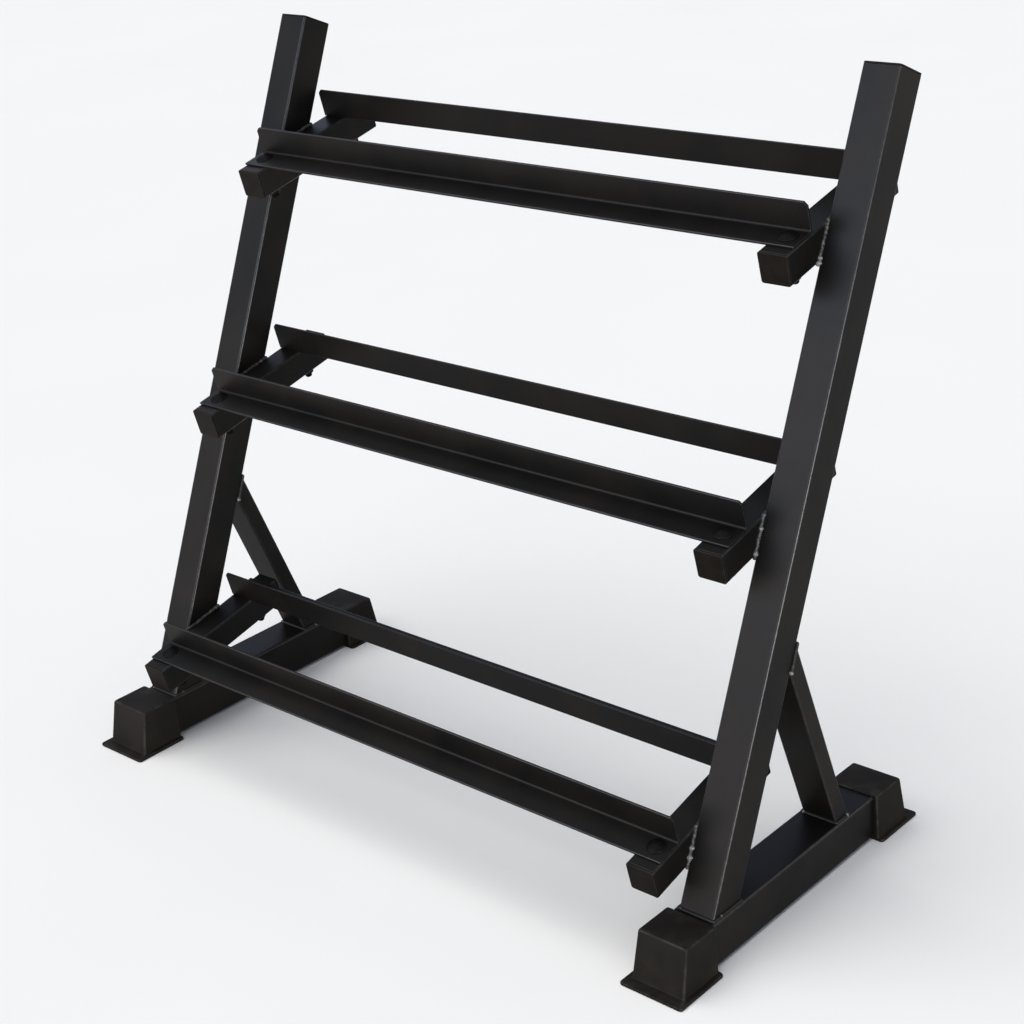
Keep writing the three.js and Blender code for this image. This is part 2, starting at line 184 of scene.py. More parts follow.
def carried(surface, matrix):
    """A surface moved by a 4 by 4 matrix: rotation times each point, plus the translation."""
    m = np.array(matrix)
    return surface[0] @ m[:3, :3].T + m[:3, 3], surface[1], surface[2]


def fill_mesh(name, surface):
    """A mesh of a surface, without points no face uses, doubles merged, faces turned outwards."""
    points, wear, faces = surface
    used = np.unique(np.concatenate([block.ravel() for block in faces]))
    points, wear = points[used], wear[used]
    faces = [np.searchsorted(used, block) for block in faces]
    mesh = bpy.data.meshes.new(name)
    mesh.from_pydata(points.tolist(), [], [face for block in faces for face in block.tolist()])
    mesh.attributes.new("wear", "FLOAT", "POINT").data.foreach_set("value", wear.astype(np.float32))
    work = bmesh.new()
    work.from_mesh(mesh)
    bmesh.ops.remove_doubles(work, verts=work.verts, dist=DOUBLES)
    bmesh.ops.recalc_face_normals(work, faces=work.faces)
    work.to_mesh(mesh)
    work.free()
    return mesh


def soften(piece, sharp_angle):
    """Smooth shading that breaks at sharp edges and keeps large flats flat."""
    piece.data.shade_smooth()
    piece.data.set_sharp_from_angle(angle=math.radians(sharp_angle))
    modifier = piece.modifiers.new("flat_sides", "WEIGHTED_NORMAL")
    modifier.keep_sharp = True


def in_scene(name, data):
    """A new object in the scene."""
    made = bpy.data.objects.new(name, data)
    bpy.context.scene.collection.objects.link(made)
    return made


def make_piece(name, surface, place, coating, node=None, sharp_angle=38):
    """A finished piece at the origin, riding on the one body, coated with the finish of a (finish,
    slot); the slot is not used.
    """
    finish, slot = coating
    piece = in_scene(name, fill_mesh(name, carried(surface, place)))
    soften(piece, sharp_angle)
    piece.data.materials.append(finish)
    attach(piece, "root")
    if node:
        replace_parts(piece, node)


print("a grid of 3 by 4 closed round has", len(grid_faces(3, 4)), "quads")

# %% [markdown]
# ## Shader arithmetic
# A finish is a graph of nodes, but most of it is arithmetic. The class below wraps one output
# socket, so that `1 - mask * 0.5` adds the Math nodes it stands for. Every other node comes from
# one method that takes a node's type, its settings and its inputs.

# %% A small language for finishes
class Flow:
    """One output socket of a node tree, with arithmetic."""

    def __init__(self, paint, socket):
        self.paint = paint
        self.socket = socket

    def _math(self, operation, first, second):
        return self.paint.node("ShaderNodeMath", {"operation": operation}, {0: first, 1: second})

    def __add__(self, other):
        return self._math("ADD", self, other)

    __radd__ = __add__

    def __mul__(self, other):
        return self._math("MULTIPLY", self, other)

    __rmul__ = __mul__

    def __sub__(self, other):
        return self._math("SUBTRACT", self, other)

    def __rsub__(self, other):
        return self._math("SUBTRACT", other, self)

    def between(self, low, high):
        """0 below low, 1 above high, and a smooth rise between."""
        return self.paint.node("ShaderNodeMapRange", {"interpolation_type": "SMOOTHSTEP"},
                               {"Value": self, "From Min": low, "From Max": high})


class Paint:
    """A material being built, with one Principled shader, or a world."""

    def __init__(self, name, library=bpy.data.materials, coordinates="Object"):
        self.owner = library.new(name)
        self.owner.use_nodes = True
        self.tree = self.owner.node_tree
        self.tree.nodes.clear()
        self.place = self.node("ShaderNodeTexCoord", output=coordinates)

    def node(self, kind, settings=None, inputs=None, output=0):
        """Adds a node: its settings first, then the values or links of its sockets."""
        made = self.tree.nodes.new(kind)
        for key, value in (settings or {}).items():
            setattr(made, key, value)
        for key, value in (inputs or {}).items():
            if isinstance(value, Flow):
                self.tree.links.new(value.socket, made.inputs[key])
            else:
                made.inputs[key].default_value = value
        return Flow(self, made.outputs[output]) if made.outputs else None

    def noise(self, scale, detail=2.0, roughness=0.5, distortion=0.0, place=None):
        """Smooth noise from 0 to 1 with about `scale` blots to a metre."""
        return self.node("ShaderNodeTexNoise", None, {
            "Vector": place or self.place, "Scale": scale, "Detail": detail,
            "Roughness": roughness, "Distortion": distortion})

    def stretched(self, x, y, z):
        """The place, stretched along each axis, for marks that run one way."""
        return self.node("ShaderNodeMapping", None, {"Vector": self.place, "Scale": (x, y, z)})

    def height(self):
        return self.node("ShaderNodeSeparateXYZ", None, {"Vector": self.place}, "Z")

    def wear(self):
        """The number that each point of a piece carries."""
        return self.node("ShaderNodeAttribute", {"attribute_name": "wear"}, output="Fac")

    def mix(self, factor, first, second):
        """A colour from first, at 0, to second, at 1."""
        inputs = {0: factor, 6: first, 7: second}
        return self.node("ShaderNodeMix", {"data_type": "RGBA"}, inputs, 2)

    def bumps(self, *layers):
        """Bumps one on another, each a height, its depth in metres and its strength."""
        skin = {}
        for height, depth, strength in layers:
            skin = {"Normal": self.node("ShaderNodeBump", None, {
                "Height": height, "Distance": depth, "Strength": strength, **skin})}
        return skin["Normal"]

    def shade(self, **sockets):
        """Ends the material: the Principled shader's sockets, with _ for a space in their names."""
        inputs = {key.replace("_", " "): value for key, value in sockets.items()}
        shader = self.node("ShaderNodeBsdfPrincipled", None, inputs)
        self.node("ShaderNodeOutputMaterial", None, {"Surface": shader})
        print("made", self.owner.name)
        return self.owner


def grey(value, warmth=0.0):
    """A nearly grey colour, warmer above 0 and cooler below."""
    return (value * (1 + warmth), value, value * (1 - warmth), 1.0)


print("finishes are built with", Paint.__name__, "and", Flow.__name__)

# %% [markdown]
# ## Powder coat
# The steel is coated with black powder that melts in an oven. It flows into a skin with a fine
# orange peel, a waviness of about a millimetre, and under it a grain of pigment. It is satin, a
# little uneven in gloss, and thinner along the edges, where handling rubs it grey and polishes it.
# The mottle, the peel and the grain are bumps of different scale, so that a highlight spreads
# softly, and a thin clear coat that follows the wear draws a line of light along the edges. All
# the finishes are darker than such paint measures, because the lights also have to whiten the
# floor.

# %% Black powder coat
def powder_coat():
    paint = Paint("black_powder_coat")
    peel = paint.noise(520, detail=3.0, roughness=0.55)
    grain = paint.noise(2600, detail=2.0, roughness=0.6)
    cloud = paint.noise(9, detail=4.0, roughness=0.55, distortion=0.4)
    mottle = paint.noise(75, detail=5.0, roughness=0.6)
    scuffs = paint.noise(150, detail=5.0, roughness=0.65, place=paint.stretched(0.35, 1.0, 1.0))
    worn = paint.wear() * (0.3 + 0.7 * scuffs.between(0.46, 0.72))
    specks = grain.between(0.60, 0.72)
    coat = paint.mix(cloud.between(0.3, 0.7), grey(0.0013), grey(0.0026, 0.20))
    coat = paint.mix(specks * 0.4, coat, grey(0.012))
    coat = paint.mix(worn * 0.5, coat, grey(0.022, -0.02))
    gloss = 0.30 + 0.10 * cloud + 0.08 * mottle + 0.09 * grain - 0.04 * worn
    skin = paint.bumps((mottle, 0.25 * MM, 0.12), (peel, 0.10 * MM, 0.55), (grain, 0.03 * MM, 0.45))
    return paint.shade(Base_Color=coat, Roughness=gloss, Normal=skin, Specular_IOR_Level=0.062,
                       Coat_Weight=paint.wear() * 0.2, Coat_Roughness=0.3, Coat_IOR=1.4)


POWDER_COAT = powder_coat(), "powder_coat"

# %% [markdown]
# ## Rubber, plastic and plated steel
# The boots are moulded rubber: nearly matt, with a coarse grain from the mould and a grey bloom
# that gathers low down, where shoes and mops reach. The plugs are a harder plastic with a finer
# spark texture and a slight sheen. Bolts and nuts are plated black, mottled and finely rough.

# %% Rubber for the boots
def rubber():
    paint = Paint("boot_rubber")
    grain = paint.noise(1500, detail=3.0, roughness=0.6)
    waves = paint.noise(70, detail=2.0)
    cloud = paint.noise(22, detail=4.0, roughness=0.6)
    low_down = 1 - paint.height().between(0.0, 50 * MM)
    bloom = cloud.between(0.42, 0.75) * (0.35 + 0.65 * low_down)
    scuffed = paint.wear() * (0.3 + waves.between(0.4, 0.65))
    colour = paint.mix(bloom, grey(0.0015, 0.35), grey(0.0036, 0.30))
    colour = paint.mix(scuffed * 0.5, colour, grey(0.012, 0.16))
    skin = paint.bumps((waves, 0.5 * MM, 0.25), (grain, 0.06 * MM, 0.6))
    return paint.shade(Base_Color=colour, Roughness=0.60 + 0.16 * grain - 0.05 * scuffed,
                       Normal=skin, Specular_IOR_Level=0.075)


# %% Plastic for the plugs and caps
def plastic():
    paint = Paint("plug_plastic")
    spark = paint.noise(1900, detail=2.0, roughness=0.7)
    cloud = paint.noise(60, detail=3.0)
    worn = paint.wear() * (0.3 + paint.noise(300, detail=3.0).between(0.4, 0.6))
    colour = paint.mix(cloud.between(0.35, 0.7), grey(0.0011, 0.40), grey(0.0020, 0.35))
    colour = paint.mix(worn * 0.4, colour, grey(0.012, 0.10))
    skin = paint.bumps((spark, 0.05 * MM, 0.5))
    return paint.shade(Base_Color=colour, Roughness=0.46 + 0.14 * spark, Normal=skin,
                       Specular_IOR_Level=0.045)


# %% Black plating for the bolts and nuts
def black_plating():
    paint = Paint("black_plated_steel")
    mottle = paint.noise(420, detail=3.0, roughness=0.6)
    fine = paint.noise(3200, detail=1.0)
    worn = paint.wear() * (0.25 + mottle.between(0.4, 0.62))
    colour = paint.mix(mottle.between(0.35, 0.7), grey(0.0008), grey(0.0020, 0.05))
    colour = paint.mix(worn * 0.25, colour, grey(0.02, 0.01))
    skin = paint.bumps((fine, 0.02 * MM, 0.5))
    return paint.shade(Base_Color=colour, Metallic=0.2 * worn,
                       Roughness=0.42 + 0.16 * mottle, Normal=skin, Specular_IOR_Level=0.028)


RUBBER = rubber(), "rubber"
PLASTIC = plastic(), "plastic"
PLATING = black_plating(), "black_steel"

# %% [markdown]
# ## Weld metal
# The joints are welded by hand after cutting. The beads are coloured a lighter, slightly metallic
# grey on the crests of their ripples, on their lumps and in patches. The number named wear says
# how light each point is.

# %% Weld beads, lighter grey in places
def weld_metal():
    paint = Paint("weld_bead")
    rough = paint.noise(900, detail=4.0, roughness=0.6)
    patches = paint.noise(260, detail=3.0)
    # where this rises the bead is coloured a lighter, slightly metallic grey
    paleness = (paint.wear() + 0.9 * patches - 0.45).between(0.25, 0.75)
    pale_grey = paint.mix(rough.between(0.35, 0.65), grey(0.04), grey(0.12))
    colour = paint.mix(paleness, grey(0.005), pale_grey)
    skin = paint.bumps((rough, 0.15 * MM, 0.6))
    return paint.shade(Base_Color=colour, Roughness=0.36 + 0.2 * rough, Metallic=0.25 * paleness,
                       Normal=skin, Specular_IOR_Level=0.09)


WELD = weld_metal(), "powder_coat"

# %% [markdown]
# ## Square tube
# The frame is square tube with rounded corners, sawn to length and welded. It could be a cube with
# a bevel and a Solidify modifier, but a cut at an angle would then spoil the wall. Instead one
# closed sheet is worked out: it runs up the outer skin, over the rim of the cut, down the inner
# skin and over the other rim, back to where it started. Every row is the same section, moved along
# the tube to where a cutting plane meets each of its points, so a slanting cut costs nothing.

# %% Sections and hollow bars
CORNER_STEPS = 6


def rounded_rectangle(width, height, corner, across=1):
    """Points round a rectangle with round corners, anticlockwise, and their wear.

    A corner's point is its centre plus the radius times (cos a, sin a), and its wear is sin 2a, so
    that it is 0 where the corner meets a flat. The level sides are cut in `across` parts.
    """
    half = np.array([width, height]) / 2 - corner
    angle = np.linspace(0, np.pi / 2, CORNER_STEPS + 1) + np.arange(4)[:, None] * np.pi / 2
    signs = np.array([(1, 1), (-1, 1), (-1, -1), (1, -1)])
    arcs = (half * signs)[:, None] + corner * np.stack([np.cos(angle), np.sin(angle)], axis=-1)
    crest = np.abs(np.sin(2 * angle[0]))
    points, wear = [], []
    for side in range(4):
        share = np.linspace(0, 1, (across, 1)[side % 2] + 1)[1:-1, None]
        flat = arcs[side, -1] * (1 - share) + arcs[(side + 1) % 4, 0] * share
        points += [arcs[side], flat]
        wear += [crest, np.zeros(len(flat))]
    return np.concatenate(points), np.concatenate(wear)


def plane_cut(own, point, normal):
    """Where lines along a frame's +Z meet a plane given in the row's frame.

    For a line through (x, y, 0) the height is ((point - (x, y, 0)) . normal) / normal's z.
    """
    back = own.inverted()
    p = np.array(back @ Vector(point))
    n = np.array(back.to_3x3() @ Vector(normal))
    return lambda section: ((p[:2] - section) @ n[:2] + p[2] * n[2]) / n[2]


def square_cut(height):
    return lambda section: np.full(len(section), height)


def quarter_rim(edge, steps=3):
    """A rim's steps from the side to the cut: how far in, how far from the cut, and the wear."""
    turn = np.linspace(0, np.pi / 2, steps + 1)
    return list(zip(edge * (1 - np.cos(turn)), edge * (1 - np.sin(turn)), np.sin(2 * turn)))


def hollow_bar(size, start, end, stations=(), across=1):
    """A tube along +Z as one closed sheet, with the rims of its two cuts rounded.

    A row is outer + (inner - outer) * share, at the height of a cut or a station. The rim turns a
    quarter circle: in by edge * (1 - cos t), and to within edge * (1 - sin t) of the cut.
    """
    wall = size["wall"]
    outer, crest = rounded_rectangle(size["width"], size["depth"], size["corner"], across)
    inside = max(size["corner"] - wall, INNER_CORNER)
    inner, _ = rounded_rectangle(size["width"] - 2 * wall, size["depth"] - 2 * wall, inside, across)
    rim = quarter_rim(SAWN_EDGE)
    plan = [(i / wall, start, b, w) for i, b, w in reversed(rim)]
    plan += [(0.0, square_cut(height), 0.0, 0.0) for height in stations]
    plan += [(i / wall, end, -b, w) for i, b, w in rim]
    plan += [(1 - i / wall, end, -b, w) for i, b, w in reversed(rim)]
    plan += [(1.0, square_cut(height), 0.0, 0.0) for height in reversed(stations)]
    plan += [(1 - i / wall, start, b, w) for i, b, w in rim]
    rows, wears = [], []
    for share, cut, back, wear in plan:
        section = outer + (inner - outer) * share
        rows.append(np.column_stack([section, cut(section) + back]))
        wears.append(np.maximum(crest * (share < 0.5), wear))
    return np.concatenate(rows), np.concatenate(wears), [grid_faces(len(plan), len(outer), True)]


print("a tube's section has", len(rounded_rectangle(1, 1, 0.1)[0]), "points")

# %% [markdown]
# ## The side frames
# Each side frame has a beam that lies on the floor in two boots, an upright that leans to the rear
# and a brace behind it. The upright's foot and both ends of the brace are sawn at an angle, so
# that they sit flat on the beam and against the upright. The cutting planes are given where they
# are in the rack: the beam's top, and the upright's rear face.

# %% Beams, uprights and braces
UP = (0, 0, 1)


def upright_foot(side):
    """An upright's own frame: +Z up its front face, from the middle of its front bottom edge."""
    return placed(side * SIDE_X, UPRIGHT_FOOT, BEAM_TOP, UPRIGHT_LEAN)


for hand, side in HANDS.items():
    x = side * SIDE_X
    beam_frame = placed(x, 0, BEAM_TOP - BEAM["depth"] / 2) @ LYING
    beam = hollow_bar(BEAM, square_cut(beam_low.y), square_cut(beam_high.y))
    make_piece(f"beam_tube_{hand}", beam, beam_frame, POWDER_COAT, f"base_beam_{hand}")

    foot = upright_foot(side)
    upright_frame = foot @ Matrix.Translation((0, UPRIGHT["depth"] / 2, 0))
    on_beam = (x, 0, BEAM_TOP + GAP)
    upright = hollow_bar(UPRIGHT, plane_cut(upright_frame, on_beam, UP), square_cut(UPRIGHT_LENGTH))
    make_piece(f"upright_tube_{hand}", upright, upright_frame, POWDER_COAT, f"upright_{hand}")

    brace_frame = (placed(x, BRACE_FOOT, BEAM_TOP, -BRACE_LEAN)
                   @ Matrix.Translation((0, BRACE["depth"] / 2, 0)))
    rear_face = foot @ Vector((0, UPRIGHT["depth"] + GAP, 0))
    rearward = foot.to_3x3() @ Vector((0, 1, 0))
    brace = hollow_bar(BRACE, plane_cut(brace_frame, on_beam, UP),
                       plane_cut(brace_frame, rear_face, rearward))
    make_piece(f"brace_tube_{hand}", brace, brace_frame, POWDER_COAT, f"brace_{hand}")
print("side frames made; the brace leaves the beam at y =", round(BRACE_FOOT, 4))

# %% [markdown]
# ## Shelf arms with bolt holes
# An arm is a shorter tube, drilled through top and bottom for its two bolts. A hole in a sheet of
# quads could be cut with a Boolean modifier, which leaves long thin faces. Here a square of quads
# is left out and a collar is sewn in: its outer row is the square, its next row the circle, and it
# goes on through the wall to the same circle and square on the inner skin.

# %% Collars and arms
HOLE_PARTS = 8  # quads along each side of the square round a hole


def collar(centre, half, hole, levels, round_hole=True):
    """A hole through a flat wall, drawn in the plane z = level about a centre.

    Four rows: the square and the hole at the first level, then the hole and the square at the
    second. A round hole's point is the square's point divided by its distance and times the radius.
    """
    along = np.linspace(-half, half, HOLE_PARTS + 1)[:-1]
    edge = np.full(HOLE_PARTS, half)
    square = np.concatenate([np.column_stack(pair) for pair in
                             ((along, -edge), (edge, along), (-along, edge), (-edge, -along))])
    reach = np.linalg.norm(square, axis=1, keepdims=True) if round_hole else half
    inside = square / reach * hole
    flat = np.concatenate([square, inside, inside, square]) + centre
    level = np.repeat([levels[0], levels[0], levels[1], levels[1]], len(square))
    return np.column_stack([flat, level]), np.zeros(len(flat)), [grid_faces(4, len(square))]


def without_windows(surface, centres, half):
    """A surface less the faces whose middle lies within `half` of a centre, seen along its Z."""
    points, wear, faces = surface
    kept = []
    for block in faces:
        middle = points[block].mean(axis=1)[:, :2]
        inside = [np.all(np.abs(middle - centre) < half, axis=1) for centre in centres]
        kept.append(block[~np.any(inside, axis=0)])
    return points, wear, kept


front_bolt = RAIL_INSET + BOLT_FROM_EDGE
BOLT_ROWS = {"front": front_bolt, "rear": ARM_LENGTH - front_bolt}


def arm_surface():
    """An arm in its shelf's frame, with its top face at z = 0 and its front end at y = 0."""
    half = ARM["width"] / 2 - ARM["corner"]
    windows = [np.linspace(y - half, y + half, HOLE_PARTS + 1) for y in BOLT_ROWS.values()]
    stations = np.concatenate(windows)
    bar = hollow_bar(ARM, square_cut(0.0), square_cut(ARM_LENGTH), stations, HOLE_PARTS)
    tube = carried(bar, Matrix.Translation((0, 0, -ARM["depth"] / 2)) @ LYING)
    centres = [np.array([0, y]) for y in BOLT_ROWS.values()]
    top, bottom, wall = 0.0, -ARM["depth"], ARM["wall"]
    radius = BOLT_RADIUS + BOLT_PLAY
    collars = [collar(centre, half, radius, levels) for centre in centres
               for levels in ((top, top - wall), (bottom, bottom + wall))]
    return joined(without_windows(tube, centres, half), *collars)


arm = arm_surface()
for tier in TIERS:
    for hand, side in HANDS.items():
        place = shelf_frame(tier) @ Matrix.Translation((side * ARM_X, 0, 0))
        make_piece(f"arm_tube_{tier}_{hand}", arm, place, POWDER_COAT, f"arm_{tier}_{hand}")
print("arms drilled at", {end: round(y, 4) for end, y in BOLT_ROWS.items()})

# %% [markdown]
# ## Angle rails
# A rail is hot-rolled angle: the two legs meet in a crisp outer corner and a rolled fillet inside,
# and the legs' inner edges are rounded. The section is a chain of arcs joined by straight lines,
# carried from one end of the rail to the other. At each end the section closes in by a fraction of
# a millimetre, which rounds the sawn edge, and the top corner of the standing leg is clipped.

# %% The angle's section and the rail
RAIL_EDGE = 0.5 * MM  # rounding of the outer edges


def angle_section(window):
    """The loop of the angle's section with its outward directions and wear.

    The flat leg runs along +u and the standing leg along +v from the outer corner. A convex arc's
    point is centre + r (cos a, sin a), and its outward direction (cos a, sin a); the fillet's is
    the opposite. The window's places on the flat leg and the clip's line get points of their own.
    """
    leg, wall, edge, toe, root = RAIL_LEG, RAIL_THICKNESS, RAIL_EDGE, RAIL_TOE, RAIL_ROOT
    clip = leg - RAIL_CLIP

    def arc(u, v, radius, first, last, steps=4, inward=False):
        angle = np.radians(np.linspace(first, last, steps + 1))
        turn = np.column_stack([np.cos(angle), np.sin(angle)])
        crest = np.abs(np.sin(np.pi * np.linspace(0, 1, steps + 1)))
        return np.array([u, v]) + radius * turn, -turn if inward else turn, crest * (not inward)

    def line(u, v, outward):
        points = np.column_stack(np.broadcast_arrays(u, v)).astype(float)
        return points, np.tile(np.array(outward, float), (len(points), 1)), np.zeros(len(points))

    parts = [
        arc(edge, edge, edge, 180, 270),
        line(window, 0.0, (0, -1)),
        arc(leg - edge, edge, edge, 270, 360),
        arc(leg - toe, wall - toe, toe, 0, 90),
        line(window[::-1], wall, (0, 1)),
        arc(wall + root, wall + root, root, 270, 180, 6, inward=True),
        line(wall, [clip], (1, 0)),
        arc(wall - toe, leg - toe, toe, 0, 90),
        arc(edge, leg - edge, edge, 90, 180),
        line(0.0, [clip], (-1, 0)),
    ]
    return [np.concatenate([part[k] for part in parts]) for k in range(3)]


rail_low, rail_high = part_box("rail_top_front")
RAIL_LENGTH = rail_high.x - rail_low.x
RAIL_BOLT = RAIL_LEG - BOLT_FROM_EDGE  # from the outer corner to the bolt
RAIL_WINDOW = RAIL_BOLT - RAIL_THICKNESS - RAIL_ROOT  # half the square left for a collar


def rail_surface():
    """A rail along X with its outer corner on the X axis, its flat leg to -Y and its leg up +Z."""
    window = np.linspace(RAIL_BOLT - RAIL_WINDOW, RAIL_BOLT + RAIL_WINDOW, HOLE_PARTS + 1)
    loop, outward, crest = angle_section(window)
    bolts = [-ARM_X, ARM_X]
    stations = [np.linspace(x - RAIL_WINDOW, x + RAIL_WINDOW, HOLE_PARTS + 1) for x in bolts]
    rim = quarter_rim(RAIL_EDGE)
    plan = [(i, -1, b, w) for i, b, w in reversed(rim)]
    plan += [(0.0, 0, x, 0.0) for x in np.concatenate(stations)]
    plan += [(i, 1, b, w) for i, b, w in rim]
    rows, wears = [], []
    for inset, end, along, wear in plan:
        section = loop - outward * inset
        clipped = np.maximum(0, section[:, 1] - (RAIL_LEG - RAIL_CLIP))
        x = end * (RAIL_LENGTH / 2 - along - clipped) if end else np.full(len(loop), along)
        rows.append(np.column_stack([x, -section[:, 0], section[:, 1]]))
        wears.append(np.maximum(crest, wear))
    points = np.concatenate(rows)
    count, size = len(loop), len(points)
    above = np.flatnonzero(loop[:, 1] >= RAIL_LEG - RAIL_CLIP - MM / 100)
    below = np.r_[above[-1]:count, 0:above[0] + 1]
    caps = [(ring + start)[None] for ring in (above, below) for start in (0, size - count)]
    body = points, np.concatenate(wears), [grid_faces(len(plan), count), *caps]
    centres = [np.array([x, -RAIL_BOLT]) for x in bolts]
    collars = [collar(centre, RAIL_WINDOW, BOLT_RADIUS + GAP, (RAIL_THICKNESS, 0.0), False)
               for centre in centres]
    return joined(without_windows(body, centres, RAIL_WINDOW), *collars)


rail = rail_surface()
for tier in TIERS:
    corner = RAIL_INSET + RAIL_LEG
    for end, y, turn in (("front", corner, 0.0), ("rear", ARM_LENGTH - corner, math.pi)):
        place = shelf_frame(tier) @ Matrix.Translation((0, y, GAP)) @ Matrix.Rotation(turn, 4, "Z")
        make_piece(f"angle_{tier}_{end}", rail, place, POWDER_COAT, f"rail_{tier}_{end}")
print("rails are", round(RAIL_LENGTH, 4), "m long, with", len(rail[0]), "points each")

# %% [markdown]
# ## Rings stacked into a shape
# Plugs, caps and boots are moulded, and a moulded shape can be read as a stack of outlines: each
# is a rounded rectangle with its own size, place and height. A skin runs from ring to ring and a
# flat face closes each end. Small steps near an edge make it round.

# %% Stacked rings
def stacked(rings):
    """A closed skin over rounded rectangles, given as (width, low y, high y, corner, z, wear).

    A ring that lies in a flat face gives no wear, and its corners then get none either.
    """
    rows, wears = [], []
    for width, low, high, corner, z, wear in rings:
        section, crest = rounded_rectangle(width, high - low, corner)
        rows.append(np.column_stack([section + [0, (low + high) / 2], np.full(len(section), z)]))
        wears.append(crest * 0 if wear is None else np.maximum(crest, wear))
    points = np.concatenate(rows)
    count = len(rows[0])
    caps = [np.arange(count)[None], np.arange(len(points) - count, len(points))[None]]
    return points, np.concatenate(wears), [grid_faces(len(rows), count), *caps]


# %% [markdown]
# ## Plugs and caps
# Every open tube end is closed by a plastic plug: a thin head with a softened edge, very slightly
# crowned, and behind it a hollow sleeve with three low barbs that grip the wall. The same rings
# make the larger caps in the tops of the uprights.

# %% Plugs in the arms, caps in the uprights
SLEEVE_WALL = 2 * MM
HEAD_EDGE = 1 * MM  # rounding round the head
BARB = 0.25 * MM  # how far a barb stands out of the sleeve


def plug_surface(size, head, depth, crown):
    """A plug along +Z with the tube's end at z = 0: the head above it, the sleeve below."""
    width, corner = size["width"], size["corner"]
    top = GAP + head
    sleeve = width - 2 * (size["wall"] + GAP)
    slim = sleeve - 2 * BARB
    hollow = sleeve - 2 * SLEEVE_WALL

    def ring(w, z, wear=0.0, c=corner):
        return (w, -w / 2, w / 2, min(c, w / 3), z, wear)

    rings = [ring(width * 0.2, top, None), ring(width * 0.6, top - 0.3 * crown, None)]
    for t in np.linspace(np.pi / 2, 0, 5):
        inset = 2 * HEAD_EDGE * (1 - math.cos(t))
        wear = math.sin(2 * t) if t < 1.5 else None
        rings.append(ring(width - inset, top - crown - HEAD_EDGE * (1 - math.sin(t)), wear))
    rings += [ring(width, GAP + 0.2 * MM), ring(width - 0.4 * MM, GAP), ring(sleeve, GAP)]
    for barb in np.linspace(0.25, 0.75, 3) * depth:
        rings += [ring(slim, -barb + 1.2 * MM), ring(sleeve, -barb), ring(slim, -barb - 0.2 * MM)]
    rings += [ring(slim, 0.6 * MM - depth), ring(sleeve - 1.4 * MM, -depth),
              ring(hollow + 0.3 * MM, -depth, c=corner / 2),
              ring(hollow, 0.3 * MM - depth, c=corner / 2),
              ring(hollow, GAP + 0.2 * MM, c=corner / 2)]
    return stacked(rings)


plug = plug_surface(ARM, head=3 * MM, depth=14 * MM, crown=0.25 * MM)
for tier in TIERS:
    for hand, side in HANDS.items():
        for end, y, turn in (("front", 0.0, 1), ("rear", ARM_LENGTH, -1)):
            place = (shelf_frame(tier) @ Matrix.Translation((side * ARM_X, y, -ARM["depth"] / 2))
                     @ Matrix.Rotation(turn * math.pi / 2, 4, "X"))
            make_piece(f"end_plug_{tier}_{hand}_{end}", plug, place, PLASTIC,
                       f"plug_{tier}_{hand}_{end}")

cap = plug_surface(UPRIGHT, head=2.5 * MM, depth=18 * MM, crown=0.15 * MM)
for hand, side in HANDS.items():
    place = upright_foot(side) @ Matrix.Translation((0, UPRIGHT["depth"] / 2, UPRIGHT_LENGTH))
    make_piece(f"top_cap_{hand}", cap, place, PLASTIC, f"upright_cap_{hand}")
print("a plug has", len(plug[0]), "points")

# %% [markdown]
# ## Rubber boots
# A boot is a block with drafted sides and a toe that leans back, standing on a flange that spreads
# to the sides and further to the front. It is moulded round the beam's end. The outside is a stack
# of rings. The pocket opens through the flat mouth, across the rings, so it is the one shape here
# that is cut with a Boolean modifier, applied at once, from a solid of the beam's own section.

# %% Boots
BOOT_LENGTH = 84 * MM
BOOT_FLANGE = 90 * MM
BOOT_BODY = 76 * MM
BOOT_TOP = 71 * MM
BOOT_HEIGHT = 65.5 * MM
TOE_LIP = 15 * MM
TOE_LEAN = 12 * MM
FLANGE_HEIGHT = 4 * MM
BOOT_SHOULDER = 2.4 * MM  # rounding round the top
BOOT_POCKET = 32 * MM - GAP  # where the pocket ends, from the toe
FLANGE_ROWS = (  # inset and height in millimetres, and wear
    (1.2, 0.0, 0.2), (0.4, 0.3, 0.8), (0.0, 1.1, 0.2), (0.0, 2.8, 0.0), (0.35, 3.6, 0.9),
    (1.3, 4.0, 0.5))


def boot_surface():
    """A boot with its toe at y = 0, its mouth at y = BOOT_LENGTH and its sole at z = 0."""
    rings = [(BOOT_FLANGE - 2 * inset * MM, inset * MM, BOOT_LENGTH, 4 * MM, z * MM, wear)
             for inset, z, wear in FLANGE_ROWS]
    rings += [(BOOT_BODY + 3 * MM, TOE_LIP - 1.9 * MM, BOOT_LENGTH, 4 * MM,
               FLANGE_HEIGHT + 0.15 * MM, 0.0),
              (BOOT_BODY + 0.9 * MM, TOE_LIP - 0.4 * MM, BOOT_LENGTH, 3.4 * MM, 4.6 * MM, 0.0)]
    for share in np.linspace(0.03, 1 - BOOT_SHOULDER / BOOT_HEIGHT, 6):
        height = FLANGE_HEIGHT + (BOOT_HEIGHT - FLANGE_HEIGHT) * share
        rings.append((BOOT_BODY + (BOOT_TOP - BOOT_BODY) * share, TOE_LIP + TOE_LEAN * share,
                      BOOT_LENGTH, 3 * MM, height, 0.0))
    for t in np.linspace(0, np.pi / 2, 6)[1:]:
        inset = BOOT_SHOULDER * (1 - math.cos(t))
        rings.append((BOOT_TOP - 2 * inset, TOE_LIP + TOE_LEAN + inset, BOOT_LENGTH - inset / 2,
                      3 * MM, BOOT_HEIGHT - BOOT_SHOULDER * (1 - math.sin(t)), math.sin(2 * t)))
    return stacked(rings)


